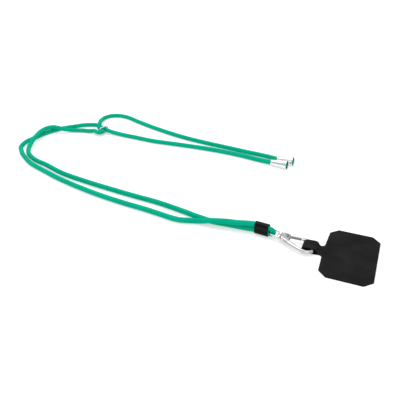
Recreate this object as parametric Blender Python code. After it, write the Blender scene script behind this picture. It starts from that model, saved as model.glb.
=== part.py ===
"""Phone lanyard: a doubled round cord with a slide ring, a crimp sleeve, a swivel snap hook and a fabric patch.

Metres, +Z up. The origin is the middle of the patch's underside, which lies on the surface z = 0.
+X runs out over the patch, away from its neck; the hook and the cord lie towards -X.
"""

import math

import bmesh
import bpy
from mathutils import Matrix, Vector

MM = 0.001

# Cord
CORD_D = 5.0 * MM
CORD_R = CORD_D / 2
CORD_SIDES = 2  # bevel resolution
MAX_TURN = math.radians(24)  # bend allowed between two points of the tube
CLEARANCE = 0.3 * MM

# Crimp sleeve, which holds the two strands one above the other
SLEEVE_MIDDLE = Vector((-74.7, 3.58, 5.95)) * MM
SLEEVE_YAW = math.radians(-5.6)
SLEEVE_LENGTH = 12.6 * MM
SLEEVE_WALL = 0.5 * MM
SLEEVE_GAP = 0.25 * MM
STRAND_OFFSET = 2.63 * MM  # each strand's height above or below the sleeve's middle
SLEEVE_WAIST = 0.45 * MM  # depth of the groove between the two lobes

# Where the cord's bight turns round the wire of the swivel eye, pressed thinner
BIGHT_REACH = 4.2 * MM  # from the sleeve's mouth to the middle of the cord at its turn
BIGHT_SPREAD = 3.2 * MM
BIGHT_LIFT = -0.4 * MM
BIGHT_PRESS = 0.77  # share of the cord's thickness left at the turn

# Hook frame: origin on the swivel's axis, +X to the hook's nose
HOOK_ORIGIN = Vector((-63.26, 2.46, 5.25)) * MM
HOOK_YAW = math.radians(-11.0)
HOOK_PITCH = math.radians(3.7)
EYE_ROLL = math.radians(12.0)  # the eye's far side stands higher

# Swivel eye
EYE_WIRE_R = 0.75 * MM
EYE_R = 3.3 * MM  # of the arc round the cord
EYE_ARC_X = -0.86 * MM
EYE_BAR = (3.75 * MM, 5.65 * MM)
EYE_BAR_HALF_WIDTH = 4.25 * MM
EYE_BAR_HALF_THICK = 1.15 * MM
EYE_HOLE_R = 1.2 * MM

# Swivel post
POST_R = 0.9 * MM
POST_END = 8.2 * MM
POST_HEAD = (2.85 * MM, 3.5 * MM)
POST_HEAD_R = 1.7 * MM

# Hook body
SHOULDER_START = 6.0 * MM
SHOULDER_HALF_THICK = 2.3 * MM
SHOULDER_OUTLINE = (
    (6.0, -3.2), (7.4, -4.8), (10.5, -5.9), (14.2, -6.9), (14.2, -2.6), (13.6, -0.9),
    (13.4, 4.2), (10.5, 4.2), (7.6, 3.8), (6.0, 2.5),
)
ARM_PATH = (
    (11.0, -4.6), (16.0, -5.9), (21.0, -7.3), (26.0, -8.3), (29.5, -8.4), (32.6, -7.3),
    (34.8, -4.8), (35.4, -1.2), (35.0, 2.2), (33.6, 5.0), (31.0, 6.9), (28.0, 7.4),
    (25.0, 6.9), (22.4, 6.0),
)
ARM_R_START = 2.15 * MM
ARM_R_NOSE = 1.4 * MM
BORE_GAP = 0.25 * MM

# Gate
GATE_PIVOT = Vector((11.2, 0.3, 0.0)) * MM
GATE_HUB_R = 2.0 * MM
GATE_HALF_THICK = 1.15 * MM
GATE_SLOT_HALF = 1.45 * MM
GATE_SLOT_START = 8.9 * MM
GATE_SLOT_FLOOR = -2.05 * MM
GATE_POCKET_R = 2.15 * MM
GATE_POCKET_HALF = 0.65 * MM
GATE_ARM = ((10.6, 2.15), (13.1, 4.1), (21.65, 6.75), (22.3, 4.5), (14.1, 1.8), (12.7, -0.85))
PIN_R = 0.7 * MM
PIN_HEAD_R = 1.55 * MM
PIN_HEAD_HEIGHT = 0.4 * MM
SPRING_R = 1.35 * MM
SPRING_WIRE_R = 0.16 * MM
SPRING_TURNS = 2.5

# Slide ring
RING_MIDDLE = Vector((-316.2, 140.6, 4.3)) * MM
RING_YAW = math.radians(-25.0)
RING_WIRE_R = 0.7 * MM
RING_INNER_HALF_HEIGHT = 2.85 * MM
RING_STRAND_OFFSET = 2.7 * MM

# End ferrules: mouth and small end of each, on its axis
FERRULE_FRONT = (Vector((-84.3, 131.3, 4.92)) * MM, Vector((-102.3, 134.2, 3.5)) * MM)
FERRULE_BACK = (Vector((-80.2, 141.9, 4.92)) * MM, Vector((-98.0, 144.3, 3.5)) * MM)
FERRULE_MOUTH_R = 4.9 * MM
FERRULE_SMALL_R = 3.45 * MM
FERRULE_WALL = 0.6 * MM
FERRULE_HOLE_R = 2.8 * MM
KNOT_R = 3.55 * MM
KNOT_HALF_LENGTH = 2.6 * MM
KNOT_DEPTH = 3.2 * MM  # knot's middle, in from the mouth

# Patch: one sheet, folded round the hook's nose, its two halves laid back to back
PATCH_X = 42.0 * MM
PATCH_Y = 67.0 * MM
PATCH_CHAMFER = 6.8 * MM
SHEET_THICK = 0.45 * MM
FACE_BOTTOM = 0.8 * MM
NECK_HALF_WIDTH = 5.9 * MM
NECK_FILLET = 3.6 * MM
NECK_BEND_X = -24.0 * MM  # where the neck bends
NECK_GAP = 1.1 * MM  # room for the pad to turn at the bend
NECK_Y = -1.0 * MM
NECK_SKEW = 0.13  # sideways shift of the neck for each metre along it
STRAP_RISE = (
    (-24.9, 1.40), (-25.7, 2.40), (-26.6, 3.90), (-27.5, 4.95), (-28.8, 5.42), (-31.5, 5.52),
)
FOLD_X = -35.6 * MM
FOLD_R = 2.62 * MM
FOLD_MIDDLE_Z = 2.9 * MM

# The cord's route, from the front ferrule round the neck loop to the sleeve
ROUTE_FRONT = (
    (-0.1023, 0.1342, 0.0035), (-0.116, 0.1362, 0.0028), (-0.134, 0.1392, 0.0026),
    (-0.159, 0.1414, 0.0026), (-0.188, 0.1414, 0.0026), (-0.218, 0.1396, 0.0026),
    (-0.248, 0.1375, 0.0026), (-0.272, 0.139, 0.0026), (-0.285, 0.1395, 0.0026),
    (-0.294, 0.14, 0.0028), (-0.304, 0.1408, 0.0033),
)
ROUTE_FRONT_LOOP = (
    (-0.3275, 0.1503, 0.0026), (-0.3349, 0.1542, 0.0026), (-0.3436, 0.1516, 0.0026),
    (-0.3511, 0.1472, 0.0026), (-0.3574, 0.141, 0.0026), (-0.3637, 0.135, 0.0026),
    (-0.3695, 0.1284, 0.0026), (-0.3741, 0.1204, 0.0026), (-0.3778, 0.1114, 0.0026),
    (-0.3808, 0.1017, 0.0026), (-0.3825, 0.0907, 0.0026), (-0.3844, 0.0802, 0.0026),
    (-0.3835, 0.073, 0.0026), (-0.38, 0.064, 0.0026), (-0.374, 0.0575, 0.0026),
    (-0.367, 0.051, 0.0026), (-0.3565, 0.0435, 0.0026), (-0.3445, 0.036, 0.0026),
    (-0.334, 0.0315, 0.0026), (-0.324, 0.028, 0.0026), (-0.311, 0.0235, 0.0026),
    (-0.298, 0.019, 0.0026), (-0.272, 0.012, 0.0026), (-0.239, 0.005, 0.0026),
    (-0.211, 0.001, 0.0026), (-0.183, -0.0018, 0.0026), (-0.166, -0.0042, 0.0026),
    (-0.1535, -0.0059, 0.0026), (-0.1468, -0.0055, 0.0026), (-0.1407, -0.0039, 0.0026),
    (-0.1348, -0.002, 0.0026), (-0.1284, -0.0015, 0.0037), (-0.1217, -0.0014, 0.0057),
    (-0.1154, -0.0008, 0.0066), (-0.1093, 0.0004, 0.007), (-0.1032, 0.0014, 0.0073),
    (-0.097, 0.0019, 0.0076), (-0.09, 0.0032, 0.0081),
)
ROUTE_BACK_LOOP = (
    (-0.0912, 0.0041, 0.0029), (-0.0976, 0.004, 0.0027), (-0.104, 0.0039, 0.0026),
    (-0.1103, 0.0034, 0.0026), (-0.1167, 0.0029, 0.0026), (-0.1235, 0.0032, 0.0026),
    (-0.1306, 0.0043, 0.0026), (-0.138, 0.0056, 0.0026), (-0.1456, 0.0074, 0.0026),
    (-0.1533, 0.009, 0.0026), (-0.179, 0.0136, 0.0026), (-0.206, 0.016, 0.0026),
    (-0.234, 0.019, 0.0026), (-0.265, 0.023, 0.0026), (-0.298, 0.029, 0.0026),
    (-0.327, 0.039, 0.0026), (-0.343, 0.0435, 0.0026), (-0.356, 0.0505, 0.0026),
    (-0.3625, 0.0558, 0.0026), (-0.3694, 0.0645, 0.0026), (-0.3733, 0.0731, 0.004),
    (-0.3744, 0.0792, 0.006), (-0.3752, 0.084, 0.0074), (-0.3766, 0.0893, 0.0077),
    (-0.379, 0.098, 0.0078), (-0.3796, 0.1045, 0.0078), (-0.3792, 0.1108, 0.0078),
    (-0.3745, 0.1178, 0.0078), (-0.3672, 0.1205, 0.0066), (-0.3629, 0.1228, 0.005),
    (-0.3559, 0.1268, 0.0034), (-0.3495, 0.1301, 0.0026), (-0.3415, 0.1327, 0.0026),
    (-0.3323, 0.1342, 0.0028),
)
ROUTE_BACK_TAIL = (
    (-0.3245, 0.1435, 0.0074), (-0.326, 0.1475, 0.0082), (-0.3295, 0.154, 0.008),
    (-0.333, 0.1615, 0.0062), (-0.3365, 0.17, 0.0042), (-0.3385, 0.18, 0.0027),
    (-0.3355, 0.1875, 0.0026), (-0.327, 0.1925, 0.0026), (-0.315, 0.193, 0.0026),
    (-0.289, 0.183, 0.0026), (-0.258, 0.172, 0.0026), (-0.22, 0.1616, 0.0026),
    (-0.187, 0.1562, 0.0026), (-0.161, 0.1535, 0.0026), (-0.137, 0.1506, 0.0027),
    (-0.117, 0.1484, 0.003), (-0.107, 0.1466, 0.0032), (-0.098, 0.1443, 0.0035),
)

# Finishes: colour, roughness, metallic
GREEN_CORD = ("green_cord", (0.004, 0.380, 0.240), 0.75, 0.0)
BLACK_PLASTIC = ("black_sleeve", (0.010, 0.010, 0.010), 0.25, 0.0)
POLISHED_METAL = ("polished_nickel", (0.86, 0.86, 0.85), 0.12, 1.0)
SPRING_STEEL = ("spring_steel", (0.55, 0.55, 0.55), 0.30, 1.0)
BLACK_FABRIC = ("black_fabric", (0.020, 0.020, 0.020), 0.85, 0.0)


# ---------------------------------------------------------------- helpers


def clear_scene():
    for old in list(bpy.data.objects):
        bpy.data.objects.remove(old, do_unlink=True)


def finish_material(finish):
    name, colour, roughness, metallic = finish
    material = bpy.data.materials.get(name)
    if material is None:
        material = bpy.data.materials.new(name)
        material.use_nodes = True
        shader = material.node_tree.nodes["Principled BSDF"]
        shader.inputs["Base Color"].default_value = (*colour, 1.0)
        shader.inputs["Roughness"].default_value = roughness
        shader.inputs["Metallic"].default_value = metallic
    return material


def add_object(name, data, finish, parent=None, matrix=None):
    piece = bpy.data.objects.new(name, data)
    bpy.context.collection.objects.link(piece)
    data.materials.append(finish_material(finish))
    piece.parent = parent
    if matrix is not None:
        piece.matrix_local = matrix
    return piece


def add_empty(name, matrix, parent=None):
    empty = bpy.data.objects.new(name, None)
    bpy.context.collection.objects.link(empty)
    empty.parent = parent
    empty.matrix_local = matrix
    return empty


def mesh_from(bm, name, smooth_angle=35):
    bmesh.ops.recalc_face_normals(bm, faces=bm.faces)
    mesh = bpy.data.meshes.new(name)
    bm.to_mesh(mesh)
    bm.free()
    mesh.shade_smooth()
    mesh.set_sharp_from_angle(angle=math.radians(smooth_angle))
    return mesh


def tube_curve(name, points, radius, sides, cyclic=False, radii=None):
    curve = bpy.data.curves.new(name, "CURVE")
    curve.dimensions = "3D"
    curve.bevel_depth = radius
    curve.bevel_resolution = sides
    curve.resolution_u = 1
    curve.render_resolution_u = 0
    curve.use_fill_caps = not cyclic
    spline = curve.splines.new("POLY")
    spline.points.add(len(points) - 1)
    for index, (spot, place) in enumerate(zip(spline.points, points)):
        spot.co = (*place, 1.0)
        spot.radius = 1.0 if radii is None else radii[index]
    spline.use_cyclic_u = cyclic
    return curve


def smooth_route(points):
    """Points on a centripetal Catmull-Rom curve, more of them where it bends."""
    points = [Vector(p) for p in points]
    ends = [points[0] * 2 - points[1], *points, points[-1] * 2 - points[-2]]
    route = []
    for i in range(1, len(ends) - 2):
        p0, p1, p2, p3 = ends[i - 1 : i + 3]
        t1 = (p1 - p0).length ** 0.5
        t2 = t1 + (p2 - p1).length ** 0.5
        t3 = t2 + (p3 - p2).length ** 0.5

        def at(t):
            a1 = p0.lerp(p1, t / t1)
            a2 = p1.lerp(p2, (t - t1) / (t2 - t1))
            a3 = p2.lerp(p3, (t - t2) / (t3 - t2))
            b1 = a1.lerp(a2, t / t2)
            b2 = a2.lerp(a3, (t - t1) / (t3 - t1))
            return b1.lerp(b2, (t - t1) / (t2 - t1))

        fine = (t2 - t1) * 0.02
        leave = at(t1 + fine) - p1
        arrive = p2 - at(t2 - fine)
        steps = 1 + int(leave.angle(arrive) / MAX_TURN)
        route += [at(t1 + (t2 - t1) * k / steps) for k in range(steps)]
    return route + [points[-1]]


def prism(outline, bottom, top, name):
    bm = bmesh.new()
    base = bm.faces.new([bm.verts.new((x, y, bottom)) for x, y in outline])
    made = bmesh.ops.extrude_face_region(bm, geom=[base])["geom"]
    raised = [part for part in made if isinstance(part, bmesh.types.BMVert)]
    bmesh.ops.translate(bm, verts=raised, vec=(0, 0, top - bottom))
    return mesh_from(bm, name)


def turned(profile, name, segments=32, smooth_angle=35):
    """A closed profile of (distance along X, radius) turned about X. Radius 0 is on the axis."""
    bm = bmesh.new()
    verts = [bm.verts.new((along, radius, 0)) for along, radius in profile]
    edges = [bm.edges.new(pair) for pair in zip(verts, verts[1:])]
    if profile[0][1] > 0:
        edges.append(bm.edges.new((verts[-1], verts[0])))
    bmesh.ops.spin(
        bm, geom=verts + edges, cent=(0, 0, 0), axis=(1, 0, 0), angle=2 * math.pi, steps=segments
    )
    bmesh.ops.remove_doubles(bm, verts=bm.verts, dist=1e-7)
    return mesh_from(bm, name, smooth_angle)


def add_bevel(piece, width, segments=2, angle=30):
    bevel = piece.modifiers.new("rounding", "BEVEL")
    bevel.width = width
    bevel.segments = segments
    bevel.limit_method = "ANGLE"
    bevel.angle_limit = math.radians(angle)
    return bevel


def add_boolean(piece, other, operation):
    boolean = piece.modifiers.new(operation.lower(), "BOOLEAN")
    boolean.operation = operation
    boolean.object = other
    boolean.solver = "EXACT"
    return boolean


def as_cutter(piece):
    piece.hide_render = True
    piece.display_type = "WIRE"
    return piece


def along(direction):
    """Rotation that turns +X along a direction, keeping +Y level."""
    x = direction.normalized()
    y = Vector((0, 0, 1)).cross(x).normalized()
    z = x.cross(y)
    return Matrix((x, y, z)).transposed()


# ---------------------------------------------------------------- cord and what is on it


def sleeve_direction():
    return Vector((math.cos(SLEEVE_YAW), math.sin(SLEEVE_YAW), 0))


def sleeve_mouth():
    return SLEEVE_MIDDLE + sleeve_direction() * SLEEVE_LENGTH / 2


def bight_turn():
    """Middle of the cord where it turns round the swivel eye's wire."""
    turn = sleeve_mouth() + sleeve_direction() * BIGHT_REACH
    return turn + Vector((0, 0, BIGHT_LIFT))


def bight_route():
    """Through the sleeve on the upper strand, round the turn, and back on the lower strand."""
    x, z = sleeve_direction(), Vector((0, 0, 1))
    mouth = sleeve_mouth()
    arc_middle = BIGHT_REACH - BIGHT_SPREAD
    side = [
        (-SLEEVE_LENGTH, STRAND_OFFSET, 0.0),
        (-2.6 * MM, STRAND_OFFSET, 0.0),
        (-0.7 * MM, STRAND_OFFSET + 0.2 * MM, 0.4),
    ]
    for angle in (math.radians(90), math.radians(60), math.radians(30)):
        reach = arc_middle + BIGHT_SPREAD * math.cos(angle)
        side.append((reach, BIGHT_SPREAD * math.sin(angle), 1.0))
    upper, lower = [], []
    for reach, offset, share in side:
        out = Matrix.Rotation(EYE_ROLL * share, 3, x) @ z * offset
        middle = mouth + x * reach + z * BIGHT_LIFT * share
        upper.append(middle + out)
        lower.append(middle - out)
    return upper + [bight_turn()] + lower[::-1]


def cord_share(spot):
    """The cord's thickness at a place, as a share of its full one: pressed round the eye's wire."""
    reach = (spot - sleeve_mouth()).dot(sleeve_direction())
    if abs(spot.y) > 12 * MM:
        return 1.0
    pressed = min(1.0, max(0.0, (reach + 2.6 * MM) / (2.4 * MM)))
    return 1.0 - (1.0 - BIGHT_PRESS) * pressed


def ring_axes():
    through = Vector((math.cos(RING_YAW), math.sin(RING_YAW), 0))
    return through, Vector((-through.y, through.x, 0))


def ring_front_route():
    """The front strand's way through the ring, from the tail's side to the neck loop's."""
    through, across = ring_axes()
    strand = RING_MIDDLE + across * RING_STRAND_OFFSET
    route = [strand + through * reach * MM for reach in (5.0, 1.5, -2.0, -5.5)]
    route[-1].z -= 0.8 * MM
    return route


def ring_back_route():
    """The back strand passes the ring, turns short round and comes back through it."""
    through, across = ring_axes()
    half_width = RING_STRAND_OFFSET + RING_INNER_HALF_HEIGHT + 2 * RING_WIRE_R
    outside = half_width + CLEARANCE + CORD_R
    turn_r = (outside - RING_STRAND_OFFSET) / 2
    passing = RING_MIDDLE - across * outside
    turn = RING_MIDDLE - across * (outside - turn_r) + through * 0.4 * MM
    inside = RING_MIDDLE - across * RING_STRAND_OFFSET
    return [
        passing - through * 5.5 * MM,
        passing - through * 0.5 * MM,
        turn - across * turn_r * 0.72 + through * turn_r * 0.72,
        turn + through * turn_r,
        turn + across * turn_r * 0.72 + through * turn_r * 0.72,
        inside + through * 0.4 * MM,
        inside - through * 2.5 * MM + Vector((0, 0, 0.2 * MM)),
        inside - through * 5.5 * MM + Vector((0, 0, 1.5 * MM)),
    ]


def cord_route():
    knot_gap = KNOT_DEPTH + KNOT_HALF_LENGTH + CLEARANCE
    starts = []
    for mouth, small in (FERRULE_FRONT, FERRULE_BACK):
        starts.append(mouth + (small - mouth).normalized() * knot_gap)
    return [
        starts[0], *ROUTE_FRONT, *ring_front_route(), *ROUTE_FRONT_LOOP,
        *bight_route(), *ROUTE_BACK_LOOP, *ring_back_route(), *ROUTE_BACK_TAIL, starts[1],
    ]


def make_cord():
    points = smooth_route(cord_route())
    shares = [cord_share(spot) for spot in points]
    curve = tube_curve("cord", points, CORD_R, CORD_SIDES, radii=shares)
    return add_object("cord", curve, GREEN_CORD)


def sleeve_loop(gap, waist):
    """Outline of the two-lobed section, (across, up), at a gap outside the strands."""
    radius = CORD_R + gap
    steps = 14
    loop = []
    for lobe in (1, -1):
        for k in range(steps + 1):
            angle = math.pi * k / steps if lobe > 0 else math.pi * (1 + k / steps)
            loop.append((radius * math.cos(angle), lobe * STRAND_OFFSET + radius * math.sin(angle)))
        side = -lobe
        for k in range(1, 4):
            share = k / 4
            dip = waist * math.sin(math.pi * share)
            loop.append((side * (radius - dip), lobe * STRAND_OFFSET * (1 - 2 * share)))
    return loop


def make_sleeve():
    bm = bmesh.new()
    rings = []
    half = SLEEVE_LENGTH / 2
    for reach, gap, waist in (
        (-half, SLEEVE_GAP + SLEEVE_WALL, SLEEVE_WAIST),
        (half, SLEEVE_GAP + SLEEVE_WALL, SLEEVE_WAIST),
        (half, SLEEVE_GAP, SLEEVE_WAIST),
        (-half, SLEEVE_GAP, SLEEVE_WAIST),
    ):
        loop = sleeve_loop(gap, waist)
        rings.append([bm.verts.new((reach, across, up)) for across, up in loop])
    count = len(rings[0])
    for ring, following in zip(rings, rings[1:] + rings[:1]):
        for i in range(count):
            j = (i + 1) % count
            bm.faces.new((ring[i], ring[j], following[j], following[i]))
    mesh = mesh_from(bm, "crimp_sleeve", 50)
    place = Matrix.Translation(SLEEVE_MIDDLE) @ Matrix.Rotation(SLEEVE_YAW, 4, "Z")
    piece = add_object("crimp_sleeve", mesh, BLACK_PLASTIC, matrix=place)
    return piece


def ferrule_profile(length):
    """Closed wall section, small end at 0 and mouth at the length, (along, radius)."""
    outer = (
        (0.0, FERRULE_SMALL_R - 0.35 * MM), (0.15 * MM, FERRULE_SMALL_R - 0.1 * MM),
        (0.5 * MM, FERRULE_SMALL_R), (0.9 * MM, FERRULE_SMALL_R - 0.05 * MM),
        (1.3 * MM, FERRULE_SMALL_R - 0.12 * MM),
        (length * 0.5, (FERRULE_SMALL_R + FERRULE_MOUTH_R) / 2),
        (length - 0.5 * MM, FERRULE_MOUTH_R - 0.04 * MM), (length - 0.15 * MM, FERRULE_MOUTH_R),
        (length, FERRULE_MOUTH_R - 0.15 * MM),
    )
    inner = (
        (length, FERRULE_MOUTH_R - FERRULE_WALL + 0.1 * MM),
        (length - 0.3 * MM, FERRULE_MOUTH_R - FERRULE_WALL),
        (length * 0.55, FERRULE_MOUTH_R - FERRULE_WALL - 0.25 * MM),
        (length * 0.4, FERRULE_HOLE_R + 0.1 * MM), (0.3 * MM, FERRULE_HOLE_R),
        (0.0, FERRULE_HOLE_R + 0.1 * MM),
    )
    return outer + inner


def make_ferrules():
    for label, (mouth, small) in (("front", FERRULE_FRONT), ("back", FERRULE_BACK)):
        axis = mouth - small
        place = Matrix.Translation(small) @ along(axis).to_4x4()
        ferrule = turned(ferrule_profile(axis.length), "end_ferrule_" + label, 36)
        add_object("end_ferrule_" + label, ferrule, POLISHED_METAL, matrix=place)

        steps = 8
        arc = [math.pi * k / steps for k in range(steps + 1)]
        knot = [(-KNOT_HALF_LENGTH * math.cos(a), KNOT_R * math.sin(a) ** 0.7) for a in arc]
        knot[0], knot[-1] = (knot[0][0], 0.0), (knot[-1][0], 0.0)
        spot = Matrix.Translation((axis.length - KNOT_DEPTH, 0, 0))
        mesh = turned(knot, "end_knot_" + label, 20, 60)
        add_object("end_knot_" + label, mesh, GREEN_CORD, matrix=place @ spot)


def make_slide_ring():
    radius = RING_INNER_HALF_HEIGHT + RING_WIRE_R
    steps = 12
    path = []
    for side in (1, -1):
        for k in range(steps + 1):
            angle = math.pi * (k / steps - 0.5)
            reach = RING_STRAND_OFFSET + radius * math.cos(angle)
            path.append((0, side * reach, side * radius * math.sin(angle)))
    curve = tube_curve("slide_ring", path, RING_WIRE_R, 3, cyclic=True)
    place = Matrix.Translation(RING_MIDDLE) @ Matrix.Rotation(RING_YAW, 4, "Z")
    add_object("slide_ring", curve, POLISHED_METAL, matrix=place)


# ---------------------------------------------------------------- swivel and hook


def hook_matrix():
    turn = Matrix.Rotation(HOOK_YAW, 4, "Z") @ Matrix.Rotation(HOOK_PITCH, 4, "Y")
    return Matrix.Translation(HOOK_ORIGIN) @ turn


def cylinder_x(name, start, end, radius, centre=(0, 0), segments=24):
    mesh = turned(((start, 0), (start, radius), (end, radius), (end, 0)), name, segments)
    mesh.transform(Matrix.Translation((0, *centre)))
    return mesh


def cylinder_z(name, half_height, radius, centre, segments=24):
    mesh = turned(
        ((-half_height, 0), (-half_height, radius), (half_height, radius), (half_height, 0)),
        name, segments,
    )
    mesh.transform(Matrix.Translation(centre) @ Matrix.Rotation(-math.pi / 2, 4, "Y"))
    return mesh


def make_swivel_eye(frame):
    steps = 14
    arc = [math.pi * (0.5 + k / steps) for k in range(steps + 1)]
    inside_bar = EYE_BAR[0] + 0.6 * MM
    path = [(inside_bar, EYE_R, 0), (EYE_BAR[0] - 1.2 * MM, EYE_R, 0)]
    path += [(EYE_ARC_X + EYE_R * math.cos(a), EYE_R * math.sin(a), 0) for a in arc]
    path += [(EYE_BAR[0] - 1.2 * MM, -EYE_R, 0), (inside_bar, -EYE_R, 0)]
    eye = add_object(
        "swivel_eye", tube_curve("swivel_eye", path, EYE_WIRE_R, 3), POLISHED_METAL, parent=frame
    )
    wide, thick = EYE_BAR_HALF_WIDTH, EYE_BAR_HALF_THICK
    corners = ((EYE_BAR[0], -wide), (EYE_BAR[1], -wide), (EYE_BAR[1], wide), (EYE_BAR[0], wide))
    bar_mesh = prism(corners, -thick, thick, "eye_bar")
    bar = as_cutter(add_object("eye_bar_tool", bar_mesh, POLISHED_METAL, parent=frame))
    add_bevel(bar, 0.45 * MM, 2)
    hole_mesh = cylinder_x("eye_hole", EYE_BAR[0] - 1 * MM, EYE_BAR[1] + 1 * MM, EYE_HOLE_R)
    hole = as_cutter(add_object("eye_hole_tool", hole_mesh, POLISHED_METAL, parent=frame))
    return eye, bar, hole


def solid_from_curve(piece):
    """The same piece with its curve turned into a mesh, so that Boolean modifiers can follow."""
    depsgraph = bpy.context.evaluated_depsgraph_get()
    mesh = bpy.data.meshes.new_from_object(piece.evaluated_get(depsgraph))
    name, parent, local = piece.name, piece.parent, piece.matrix_local.copy()
    material = piece.data.materials[0]
    bpy.data.objects.remove(piece, do_unlink=True)
    bm = bmesh.new()
    bm.from_mesh(mesh)
    bmesh.ops.remove_doubles(bm, verts=bm.verts, dist=1e-7)
    bmesh.ops.recalc_face_normals(bm, faces=bm.faces)
    bm.to_mesh(mesh)
    bm.free()
    mesh.materials.clear()
    mesh.materials.append(material)
    solid = bpy.data.objects.new(name, mesh)
    bpy.context.collection.objects.link(solid)
    solid.parent = parent
    solid.matrix_local = local
    return solid


def make_swivel_post(frame):
    head_start, head_end = POST_HEAD
    profile = (
        (head_start, 0), (head_start + 0.05 * MM, POST_HEAD_R * 0.6),
        (head_start + 0.3 * MM, POST_HEAD_R), (head_end, POST_HEAD_R), (head_end, POST_R),
        (POST_END, POST_R), (POST_END, 0),
    )
    add_object("swivel_post", turned(profile, "swivel_post", 24), POLISHED_METAL, parent=frame)


def make_hook_body(frame):
    path = smooth_route([(x * MM, y * MM, 0) for x, y in ARM_PATH])
    radii = []
    for spot in path:
        near_arm = spot.y < 0 and spot.x < 29 * MM
        share = min(1, max(0, (spot.x - 11 * MM) / (18 * MM))) if near_arm else 1.0
        radii.append((ARM_R_START + (ARM_R_NOSE - ARM_R_START) * share) / ARM_R_NOSE)
    arm_curve = tube_curve("hook_body", path, ARM_R_NOSE, 3, radii=radii)
    arm = solid_from_curve(add_object("hook_body", arm_curve, POLISHED_METAL, parent=frame))

    outline = [(x * MM, y * MM) for x, y in SHOULDER_OUTLINE]
    block_mesh = prism(outline, -SHOULDER_HALF_THICK, SHOULDER_HALF_THICK, "shoulder")
    block = as_cutter(add_object("shoulder_tool", block_mesh, POLISHED_METAL, parent=frame))
    add_bevel(block, 0.8 * MM, 3)
    add_boolean(arm, block, "UNION")

    slot_outline = (
        (GATE_SLOT_START, GATE_SLOT_FLOOR), (16 * MM, GATE_SLOT_FLOOR), (16 * MM, 9 * MM),
        (GATE_SLOT_START, 9 * MM),
    )
    slot_mesh = prism(slot_outline, -GATE_SLOT_HALF, GATE_SLOT_HALF, "gate_slot")
    slot = as_cutter(add_object("gate_slot_tool", slot_mesh, POLISHED_METAL, parent=frame))
    add_boolean(arm, slot, "DIFFERENCE")

    pin_hole = cylinder_z("pin_hole", SHOULDER_HALF_THICK * 2, PIN_R + BORE_GAP, GATE_PIVOT)
    pin_tool = as_cutter(add_object("pin_hole_tool", pin_hole, POLISHED_METAL, parent=frame))
    add_boolean(arm, pin_tool, "DIFFERENCE")

    bore = cylinder_x("post_bore", SHOULDER_START - 1 * MM, POST_END + BORE_GAP, POST_R + BORE_GAP)
    bore_tool = as_cutter(add_object("post_bore_tool", bore, POLISHED_METAL, parent=frame))
    add_boolean(arm, bore_tool, "DIFFERENCE")


def make_gate(frame):
    """The gate turns on its pin: its origin is on the pin's axis."""
    hinge = add_empty("gate_axis", Matrix.Translation(GATE_PIVOT), frame)
    outline = [(x * MM - GATE_PIVOT.x, y * MM - GATE_PIVOT.y) for x, y in GATE_ARM]
    start = math.atan2(outline[-1][1], outline[-1][0])
    end = math.atan2(outline[0][1], outline[0][0])
    steps = 10
    sweep = (end - start) % (2 * math.pi) - 2 * math.pi
    hub = [start + sweep * (k / steps) for k in range(1, steps)]
    outline += [(GATE_HUB_R * math.cos(a), GATE_HUB_R * math.sin(a)) for a in hub]
    mesh = prism(outline, -GATE_HALF_THICK, GATE_HALF_THICK, "gate")
    gate = add_object("gate", mesh, POLISHED_METAL, parent=hinge)
    add_bevel(gate, 0.35 * MM, 2)
    pocket = cylinder_z("gate_pocket", GATE_POCKET_HALF, GATE_POCKET_R, (0, 0, 0))
    pocket_tool = as_cutter(add_object("gate_pocket_tool", pocket, POLISHED_METAL, parent=hinge))
    add_boolean(gate, pocket_tool, "DIFFERENCE")
    hole = cylinder_z("gate_hole", GATE_HALF_THICK * 3, PIN_R + BORE_GAP, (0, 0, 0))
    hole_tool = as_cutter(add_object("gate_hole_tool", hole, POLISHED_METAL, parent=hinge))
    add_boolean(gate, hole_tool, "DIFFERENCE")


def make_gate_pin(frame):
    reach = SHOULDER_HALF_THICK + 0.2 * MM
    tall = reach + PIN_HEAD_HEIGHT
    half = [(0.0, PIN_R), (reach, PIN_R), (reach, PIN_HEAD_R), (reach + 0.15 * MM, PIN_HEAD_R)]
    half += [(tall - 0.06 * MM, PIN_HEAD_R * 0.6), (tall, 0.0)]
    profile = [(-along_axis, radius) for along_axis, radius in reversed(half[1:])] + half[1:]
    mesh = turned(profile, "gate_pin", 24)
    mesh.transform(Matrix.Translation(GATE_PIVOT) @ Matrix.Rotation(-math.pi / 2, 4, "Y"))
    add_object("gate_pin", mesh, POLISHED_METAL, parent=frame)


def make_gate_spring(frame):
    per_turn = 12
    count = int(SPRING_TURNS * per_turn)
    rise = 2 * (GATE_POCKET_HALF - SPRING_WIRE_R - 0.12 * MM)
    path = []
    for k in range(count + 1):
        angle = 2 * math.pi * k / per_turn + math.pi * 0.75
        height = rise * (k / count - 0.5)
        path.append((SPRING_R * math.cos(angle), SPRING_R * math.sin(angle), height))
    curve = tube_curve("gate_spring", path, SPRING_WIRE_R, 1)
    add_object("gate_spring", curve, SPRING_STEEL, frame, Matrix.Translation(GATE_PIVOT))


# ---------------------------------------------------------------- patch


def neck_middle(x):
    return NECK_Y + NECK_SKEW * (x + PATCH_X / 2)


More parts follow.
